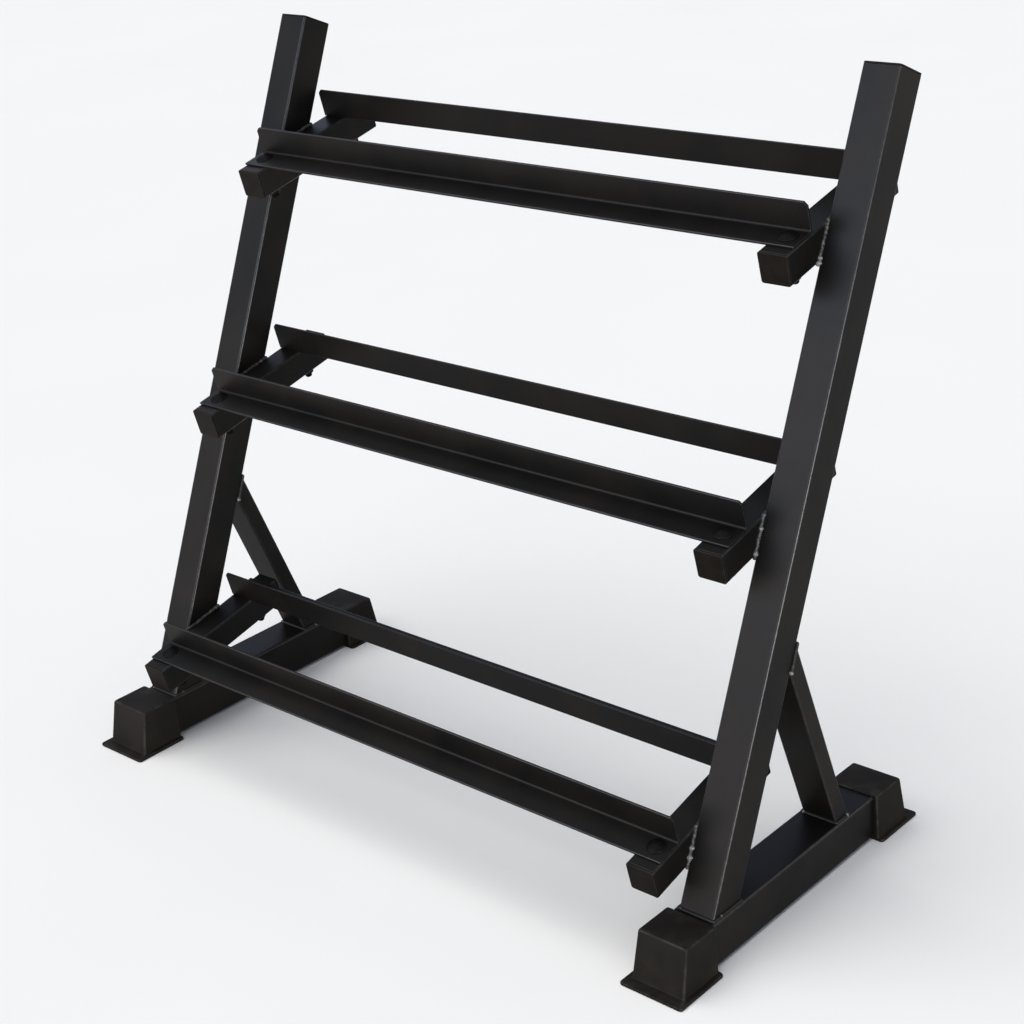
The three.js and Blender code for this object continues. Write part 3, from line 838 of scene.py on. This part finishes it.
def pocket_surface():
    """The solid that a boot's pocket is cut with: the beam's section with a gap all round."""
    width = BEAM["width"] + 2 * GAP
    section = (width, -width / 2, width / 2, BEAM["corner"] + GAP)
    block = stacked([(*section, BOOT_POCKET, 0.0), (*section, BOOT_LENGTH + 20 * MM, 0.0)])
    return carried(block, Matrix.Translation((0, 0, BEAM_TOP - BEAM["depth"] / 2)) @ LYING)


def cut_from(surface, cutter):
    """A surface less another, by an exact Boolean cut of their meshes, read back as arrays."""
    body = in_scene("body", fill_mesh("body", surface))
    tool = in_scene("cutter", fill_mesh("cutter", cutter))
    modifier = body.modifiers.new("cut", "BOOLEAN")
    modifier.object = tool
    modifier.solver = "EXACT"
    cut = body.evaluated_get(bpy.context.evaluated_depsgraph_get()).data
    points = np.empty(len(cut.vertices) * 3)
    cut.vertices.foreach_get("co", points)
    wear = np.zeros(len(cut.vertices))
    cut.attributes["wear"].data.foreach_get("value", wear)
    faces = [np.array(face.vertices)[None] for face in cut.polygons]
    bpy.data.objects.remove(body)
    bpy.data.objects.remove(tool)
    return points.reshape(-1, 3), wear, faces


boot = cut_from(boot_surface(), pocket_surface())
for hand, side in HANDS.items():
    for end, turn in (("front", 0.0), ("rear", math.pi)):
        low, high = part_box(f"boot_{end}_{hand}")
        toe = low.y if end == "front" else high.y
        place = Matrix.Translation((side * SIDE_X, toe, 0)) @ Matrix.Rotation(turn, 4, "Z")
        make_piece(f"rubber_boot_{end}_{hand}", boot, place, RUBBER, f"boot_{end}_{hand}")
print("a boot has", len(boot[0]), "points")

# %% [markdown]
# ## Carriage bolts and flange nuts
# The rails are held by carriage bolts: a shallow dome above, a square neck that locks in the rail,
# and a rolled thread below. All of that is one surface in polar form. Each row has a height, and a
# radius that may depend on the angle: constant for the dome, a near-square for the neck, and for
# the thread a ridge whose height along the bolt moves on by one pitch in a turn. A flange nut is
# the same idea, with a hexagon for its radius and its rows closed into a ring through the bore.

# %% Bolts
BOLT_HEAD = 12 * MM
BOLT_DOME = 5 * MM
BOLT_LENGTH = 60 * MM
THREAD_LENGTH = 27 * MM
PITCH = 1.5 * MM
THREAD_DEPTH = 0.61 * PITCH
HEAD_RIM = 0.9 * MM  # upright edge under the dome
SHANK = BOLT_RADIUS - 0.1 * MM
NECK_POWER = 14  # how square the neck is: 2 would be a circle
BOLT_TAPER = 1.3 * MM  # at the tip
TURN_STEPS = 48


def polar(rows, close_rows=False, columns=TURN_STEPS):
    """A surface of (radius at each angle, height, wear) rows: (r cos a, r sin a, z)."""
    angle = np.arange(columns) * 2 * np.pi / columns
    radius = np.array([np.broadcast_to(row[0], columns) for row in rows])
    height = np.array([np.broadcast_to(row[1], columns) for row in rows])
    wear = np.array([np.broadcast_to(row[2], columns) for row in rows])
    points = np.stack([radius * np.cos(angle), radius * np.sin(angle), height], axis=-1)
    return points.reshape(-1, 3), wear.ravel(), [grid_faces(len(rows), columns, close_rows)]


def bolt_surface():
    """A carriage bolt with the underside of its head at z = 0 and its shank down -Z."""
    angle = np.arange(TURN_STEPS) * 2 * np.pi / TURN_STEPS
    rise = BOLT_DOME - HEAD_RIM
    sphere = (BOLT_HEAD ** 2 + rise ** 2) / (2 * rise)
    rows = [(sphere * math.sin(t), BOLT_DOME - sphere * (1 - math.cos(t)), 0.0)
            for t in np.linspace(0, 0.96, 9) * math.asin(BOLT_HEAD / sphere)]
    rows += [(BOLT_HEAD - 0.15 * MM, HEAD_RIM + 0.1 * MM, 0.7),
             (BOLT_HEAD, HEAD_RIM - 0.25 * MM, 1.0),
             (BOLT_HEAD, 0.3 * MM, 0.3), (BOLT_HEAD - 0.3 * MM, 0.0, 0.5)]
    powers = np.abs(np.cos(angle)) ** NECK_POWER + np.abs(np.sin(angle)) ** NECK_POWER
    neck = BOLT_RADIUS / powers ** (1 / NECK_POWER)
    first, last = BOLT_LENGTH - THREAD_LENGTH, BOLT_LENGTH - 0.4 * MM
    rows += [(neck, 0.0, 0.0), (neck, -RAIL_THICKNESS, 0.4),
             (SHANK, -RAIL_THICKNESS - 0.2 * MM, 0.0), (SHANK, 0.5 * MM - first, 0.0)]
    for along in np.arange(first, last, PITCH / 8):
        ridge = np.abs(2 * ((along / PITCH - angle / (2 * np.pi)) % 1) - 1)
        depth = THREAD_DEPTH * min(1.0, (along - first) / PITCH)
        tip = BOLT_RADIUS - max(0.0, along - (BOLT_LENGTH - BOLT_TAPER))
        radius = np.minimum(BOLT_RADIUS - depth * np.clip(1.15 * ridge - 0.08, 0, 1), tip)
        rows.append((radius, -along, (1 - ridge) ** 3 * 0.8))
    rows += [(BOLT_RADIUS - BOLT_TAPER, -BOLT_LENGTH, 0.4), (0.0, -BOLT_LENGTH, 0.0)]
    return polar(rows)


# %% Nuts
NUT_HALF_FLATS = 8 * MM
NUT_HEIGHT = 10 * MM
NUT_FLANGE = 10.9 * MM
NUT_STEPS = 72
NUT_TURN = 0.83  # each nut stops at an angle of its own


def nut_surface():
    """A flange nut with its flange at z = 0 and its hexagon down -Z.

    A hexagon's radius is half its flats over cos of the angle from the middle of the nearest flat.
    """
    angle = np.arange(NUT_STEPS) * 2 * np.pi / NUT_STEPS
    off = (angle + np.pi / 6) % (np.pi / 3) - np.pi / 6
    hexagon = NUT_HALF_FLATS / np.cos(off)
    crest = (np.abs(off) / (np.pi / 6)) ** 8
    across = NUT_HALF_FLATS / math.cos(math.pi / 6)
    bore = BOLT_RADIUS + 0.15 * MM
    rows = [(bore + 0.5 * MM, 0.0, 0.0), (NUT_FLANGE - 0.6 * MM, 0.0, 0.0),
            (NUT_FLANGE - 0.15 * MM, -0.2 * MM, 0.6), (NUT_FLANGE, -0.6 * MM, 0.6),
            (NUT_FLANGE - 0.1 * MM, -1.1 * MM, 0.8), (NUT_FLANGE - 0.9 * MM, -1.7 * MM, 0.2),
            (hexagon + 0.25 * MM, -2.3 * MM, 0.0), (hexagon, -2.7 * MM, crest)]
    for share in np.linspace(0.35, 1.0, 6):
        z = -NUT_HEIGHT * share
        chamfer = across - 1.9 * max(0.0, -z - (NUT_HEIGHT - 0.9 * MM))
        rows.append((np.minimum(hexagon, chamfer), z, crest * (share < 0.95)))
    rows += [(bore + 0.7 * MM, -NUT_HEIGHT, 0.3), (bore, 0.6 * MM - NUT_HEIGHT, 0.0),
             (bore, -0.5 * MM, 0.0)]
    return polar(rows, close_rows=True, columns=NUT_STEPS)


bolt = bolt_surface()
nut = nut_surface()
for tier in TIERS:
    for hand, side in HANDS.items():
        for number, (end, y) in enumerate(BOLT_ROWS.items()):
            shelf = shelf_frame(tier)
            head = shelf @ Matrix.Translation((side * ARM_X, y, RAIL_THICKNESS + 2 * GAP))
            make_piece(f"carriage_bolt_{tier}_{hand}_{end}", bolt, head, PLATING,
                       f"bolt_{tier}_{hand}_{end}")
            spun = (TIERS.index(tier) * 4 + number * 2 + side) * NUT_TURN
            under = (shelf @ Matrix.Translation((side * ARM_X, y, -ARM["depth"] - GAP))
                     @ Matrix.Rotation(spun, 4, "Z"))
            make_piece(f"flange_nut_{tier}_{hand}_{end}", nut, under, PLATING,
                       f"nut_{tier}_{hand}_{end}")
print("a bolt has", len(bolt[0]), "points and a nut", len(nut[0]))

# %% [markdown]
# ## Weld beads
# The tubes are joined by fillet welds. A bead is a row of overlapping puddles laid along the seam,
# so its surface is a rope with ripples, half sunk in the steel on both sides. It follows a closed
# path round each joint: four straight seams with turned corners. Along the path the radius swells
# and shrinks a little, jumps at each puddle's front edge, and grows into a lump where the welder
# stopped.

# %% Beads
BEAD_RADIUS = 2.3 * MM
BEAD_PITCH = 2.1 * MM
BEAD_STEPS = 14  # points round the bead
TURNED = 7  # samples over which a corner is turned
LUMP_LENGTH = 1.9 * MM
rng = np.random.default_rng(20)


def bead_surface(corners, normal, lumps, paleness, radius):
    """A rippled rope along the closed polygon of `corners`, which lies in a plane with a normal.

    At a distance s along the path the ring's radius is
    r (1 + waviness(s) + 0.16 * ripple + lump(s)), where the ripple falls from 1 to 0 over a pitch
    and its phase lags by a quarter pitch at the bead's sides, and a lump is a bell curve.
    """
    corners = np.array(corners, float)
    legs = np.roll(corners, -1, axis=0) - corners
    reach = np.linalg.norm(legs, axis=1)
    total = reach.sum()
    s = np.arange(0, total, BEAD_PITCH / 5)
    starts = np.concatenate([[0], np.cumsum(reach)[:-1]])
    leg = np.searchsorted(starts, s, side="right") - 1
    middle = corners[leg] + legs[leg] * ((s - starts[leg]) / reach[leg])[:, None]
    wrapped = np.concatenate([middle[-TURNED:], middle, middle[:TURNED]])
    window = np.ones(TURNED) / TURNED
    eased = np.stack([np.convolve(wrapped[:, k], window, "same") for k in range(3)], axis=1)
    middle = eased[TURNED:-TURNED]
    along = np.roll(middle, -1, axis=0) - np.roll(middle, 1, axis=0)
    along /= np.linalg.norm(along, axis=1, keepdims=True)
    normal = np.array(normal, float)
    aside = np.cross(along, normal)
    phase = rng.uniform(0, 2 * np.pi, 4)
    turns = 2 * np.pi * s / total
    wavy = sum(np.sin((3 + 5 * k) * turns + phase[k]) for k in range(4)) * 0.035
    lump_place, lump_rise = np.array(lumps).T
    gap = np.abs((s / total)[:, None] - lump_place)
    gap = np.minimum(gap, 1 - gap) * total
    lump = (np.exp(-(gap / LUMP_LENGTH) ** 2) * lump_rise).sum(axis=1)[:, None]
    angle = np.arange(BEAD_STEPS) * 2 * np.pi / BEAD_STEPS
    lag = 0.25 * (1 - np.cos(angle))
    ripple = 1 - ((s / BEAD_PITCH)[:, None] + lag) % 1
    swell = 1 + wavy[:, None] + 0.16 * ripple + lump
    ring = np.cos(angle)[:, None] * normal + np.sin(angle)[:, None] * aside[:, None]
    points = middle[:, None] + ring * (radius * swell)[..., None]
    # the base level, ripple crests and lumps raise how much of the weld's lighter grey a point gets
    wear = np.clip(paleness + 0.25 * (ripple - 0.5) + 0.9 * lump, 0, 1)
    faces = [grid_faces(len(s), BEAD_STEPS, close_rows=True)]
    return points.reshape(-1, 3), wear.ravel(), faces


def weld(name, corners, normal, lumps, paleness, size=1.0):
    seam = bead_surface(corners, normal, lumps, paleness, size * BEAD_RADIUS)
    make_piece(name, seam, Matrix(), WELD, sharp_angle=70)


def round_tube(x, half, near, far):
    """A seam's corners, either side of x, from the (y, z) of its front and its back."""
    return [(x - half, *near), (x + half, *near), (x + half, *far), (x - half, *far)]


def crossing(first, first_way, second, second_way):
    """Where two lines of the side view meet: first + t * first_way = second + u * second_way."""
    t, _ = np.linalg.solve(np.column_stack([first_way, -np.array(second_way)]),
                           np.array(second) - np.array(first))
    return np.array(first) + t * np.array(first_way)


def side_point(matrix, y, z):
    """A point of a piece's own side view, in the rack's side view."""
    return np.array((matrix @ Vector((0, y, z)))[1:])


def side_way(matrix, y, z):
    return np.array((matrix.to_3x3() @ Vector((0, y, z)))[1:])


OUT = 0.6 * MM  # how far a bead's middle stands out of the corner it fills
LUMPS = {"top": ((0.785, 0.9), (0.81, 0.5)), "middle": ((0.80, 0.6), (0.93, 0.4)),
         "bottom": ((0.885, 0.9), (0.835, 1.0), (0.62, 0.5))}
for hand, side in HANDS.items():
    foot = upright_foot(side)
    upright_way = side_way(foot, 0, 1)
    for tier in TIERS:
        shelf = shelf_frame(tier)
        arm_way = side_way(shelf, 1, 0)
        lines = [(side_point(shelf, 0, OUT), arm_way),
                 (side_point(foot, UPRIGHT["depth"] + OUT, 0), upright_way),
                 (side_point(shelf, 0, -ARM["depth"] - OUT), arm_way),
                 (side_point(foot, -OUT, 0), upright_way)]
        ring = [crossing(*lines[k - 1], *lines[k]) for k in range(4)]
        corners = [(side * (INNER_FACE - GAP / 2), *point) for point in ring]
        weld(f"weld_arm_{tier}_{hand}", corners, (-side, 0, 0), LUMPS[tier], 0.36)

    half = UPRIGHT["width"] / 2 + OUT
    x, z = side * SIDE_X, BEAM_TOP + GAP / 2
    back = UPRIGHT_FOOT + UPRIGHT["depth"] / math.cos(UPRIGHT_LEAN)
    weld(f"weld_upright_foot_{hand}", round_tube(x, half, (UPRIGHT_FOOT - OUT, z), (back + OUT, z)),
         UP, ((0.02, 0.3), (0.31, 0.35)), 0.08, 0.8)

    half = BRACE["width"] / 2 + OUT
    back = BRACE_FOOT + BRACE["depth"] / math.cos(BRACE_LEAN)
    weld(f"weld_brace_foot_{hand}", round_tube(x, half, (BRACE_FOOT - OUT, z), (back + OUT, z)),
         UP, ((0.47, 0.6), (0.02, 0.4)), 0.12, 0.85)

    brace_own = placed(0, BRACE_FOOT, BEAM_TOP, -BRACE_LEAN)
    brace_way = side_way(brace_own, 0, 1)
    rear = (side_point(foot, UPRIGHT["depth"] + GAP / 2, 0), upright_way)
    low = crossing(*rear, side_point(brace_own, -OUT, 0), brace_way)
    high = crossing(*rear, side_point(brace_own, BRACE["depth"] + OUT, 0), brace_way)
    weld(f"weld_brace_top_{hand}", round_tube(x, half, low, high), (0, *side_way(foot, 1, 0)),
         ((0.30, 0.5),), 0.22, 0.85)

# %% [markdown]
# ## Floor, light and camera
# The rack stands on a plain pale floor under a soft sky. Black satin paint is seen mostly by what
# it reflects, so the lights are placed for their reflections: two wide soft boxes to the front
# left shine in the fronts of the uprights, and a tall one to the front right draws a line down
# their round edges. Weak boxes above and behind lift the top faces and the rails, and one that
# lies on the floor sends light up as a pale floor does. They would leave bright patches on the
# floor, so light linking keeps them on the rack, and a broad sun and the sky light the floor
# evenly. The camera looks down on the rack from the front right through a short telephoto lens.

# %% Floor
def floor_finish():
    paint = Paint("pale_floor")
    cloud = paint.noise(1.5, detail=3.0)
    grain = paint.noise(240, detail=2.0)
    colour = paint.mix(cloud, (0.84, 0.825, 0.80, 1), (0.88, 0.865, 0.84, 1))
    return paint.shade(Base_Color=colour, Roughness=0.75 + 0.1 * grain, Specular_IOR_Level=0.2)


FLOOR_RADIUS = 30.0
FLOOR_SIDES = 96
turn = np.arange(FLOOR_SIDES) * 2 * np.pi / FLOOR_SIDES
disc = np.column_stack([FLOOR_RADIUS * np.cos(turn), FLOOR_RADIUS * np.sin(turn),
                        np.full(FLOOR_SIDES, -0.2 * MM)])
floor_mesh = bpy.data.meshes.new("floor")
floor_mesh.from_pydata(disc.tolist(), [], [list(range(FLOOR_SIDES))])
floor = in_scene("floor", floor_mesh)
floor.data.materials.append(floor_finish())

# %% Lights
AIM = Vector((0, 0.03, 0.45))
rack_only = bpy.data.collections.new("all_but_the_floor")
rack_only.objects.link(floor)
rack_only.collection_objects[0].light_linking.link_state = "EXCLUDE"


def soft_box(name, place, width, height, power, colour=(1, 1, 1), aim=AIM):
    """A rectangular light that isn't seen itself and leaves the floor unlit."""
    lamp = bpy.data.lights.new(name, "AREA")
    lamp.shape = "RECTANGLE"
    lamp.size, lamp.size_y = width, height
    lamp.energy = power
    lamp.color = colour
    light = in_scene(name, lamp)
    light.location = place
    light.rotation_euler = (aim - Vector(place)).to_track_quat("-Z", "Y").to_euler()
    light.visible_camera = False
    light.light_linking.receiver_collection = rack_only


soft_box("front_left_high", (-1.7, -4.5, 3.0), 5.0, 2.2, 520, (0.77, 0.83, 1.0))
soft_box("front_left_low", (-1.8, -5.2, 0.9), 5.0, 1.7, 220, (1.0, 0.88, 0.80))
soft_box("front_right_box", (3.95, -1.95, 0.9), 0.8, 1.6, 460)
soft_box("overhead_box", (-2.4, 0.6, 3.4), 2.5, 2.0, 28, (0.94, 0.97, 1.0))
soft_box("rear_left_box", (-3.0, 3.3, 3.0), 4.0, 3.0, 38, (0.55, 0.68, 1.0))
soft_box("rear_right_box", (3.2, 4.2, 1.9), 3.0, 2.0, 60, (1.0, 0.97, 0.94))
soft_box("floor_bounce", (-1.3, -1.5, 0.01), 2.4, 2.4, 22, (1.0, 0.88, 0.80),
         Vector((-1.3, -1.5, 9)))

sun = bpy.data.lights.new("sky_light", "SUN")
sun.energy = 2.35
sun.angle = math.radians(70)
sun.color = (1.0, 0.985, 0.95)
sun_light = in_scene("sky_light", sun)
sun_light.rotation_euler = (math.radians(18), math.radians(-14), 0)

# %% Sky
HORIZON = (0.90, 0.91, 0.93, 1)  # as pale as the floor
OVERHEAD = (0.38, 0.42, 0.50, 1)
HAZE_TOP = 0.22  # height of a unit direction at which the haze ends
studio = Paint("studio", bpy.data.worlds, "Generated")
fade = studio.node("ShaderNodeMapRange", None,
                   {"Value": studio.height(), "From Min": 0.0, "From Max": HAZE_TOP})
glow = studio.node("ShaderNodeBackground", None, {"Color": studio.mix(fade, HORIZON, OVERHEAD)})
studio.node("ShaderNodeOutputWorld", None, {"Surface": glow})
bpy.context.scene.world = studio.owner
bpy.context.scene.view_settings.view_transform = "Standard"

# %% Camera
CAMERA_PLACE = Vector((1.6643, -1.7342, 1.4076))
CAMERA_AIM = Vector((0.0, 0.0647, 0.3693))
CAMERA_ROLL = math.radians(-4.03)
camera_data = bpy.data.cameras.new("camera")
camera_data.sensor_width = 36
camera_data.lens = 69.34
camera = in_scene("camera", camera_data)
camera.location = CAMERA_PLACE
camera.rotation_mode = "QUATERNION"
look = (CAMERA_AIM - CAMERA_PLACE).to_track_quat("-Z", "Y")
camera.rotation_quaternion = look @ Quaternion((0, 0, 1), CAMERA_ROLL)
bpy.context.scene.camera = camera
print("camera is", round((CAMERA_PLACE - AIM).length, 3), "m from the rack")

# %% [markdown]
# ## Measure
# Each new piece's box is compared with the box of the node that it stands for. The visual model
# must fill the same box as the imported one.

# %% Compare with the frame
worst = 0.0
NOTABLE = 0.5 * MM
for piece in [o for o in bpy.data.objects if "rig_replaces" in o]:
    corners = np.array(piece.bound_box)
    node_low, node_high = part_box(piece["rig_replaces"][0])
    off = max(np.abs(corners.min(0) - node_low).max(), np.abs(corners.max(0) - node_high).max())
    worst = max(worst, off)
    if off > NOTABLE:
        print("check", piece.name, round(off / MM, 2), "mm")
print("pieces match their nodes' boxes to", round(worst / MM, 3), "mm")
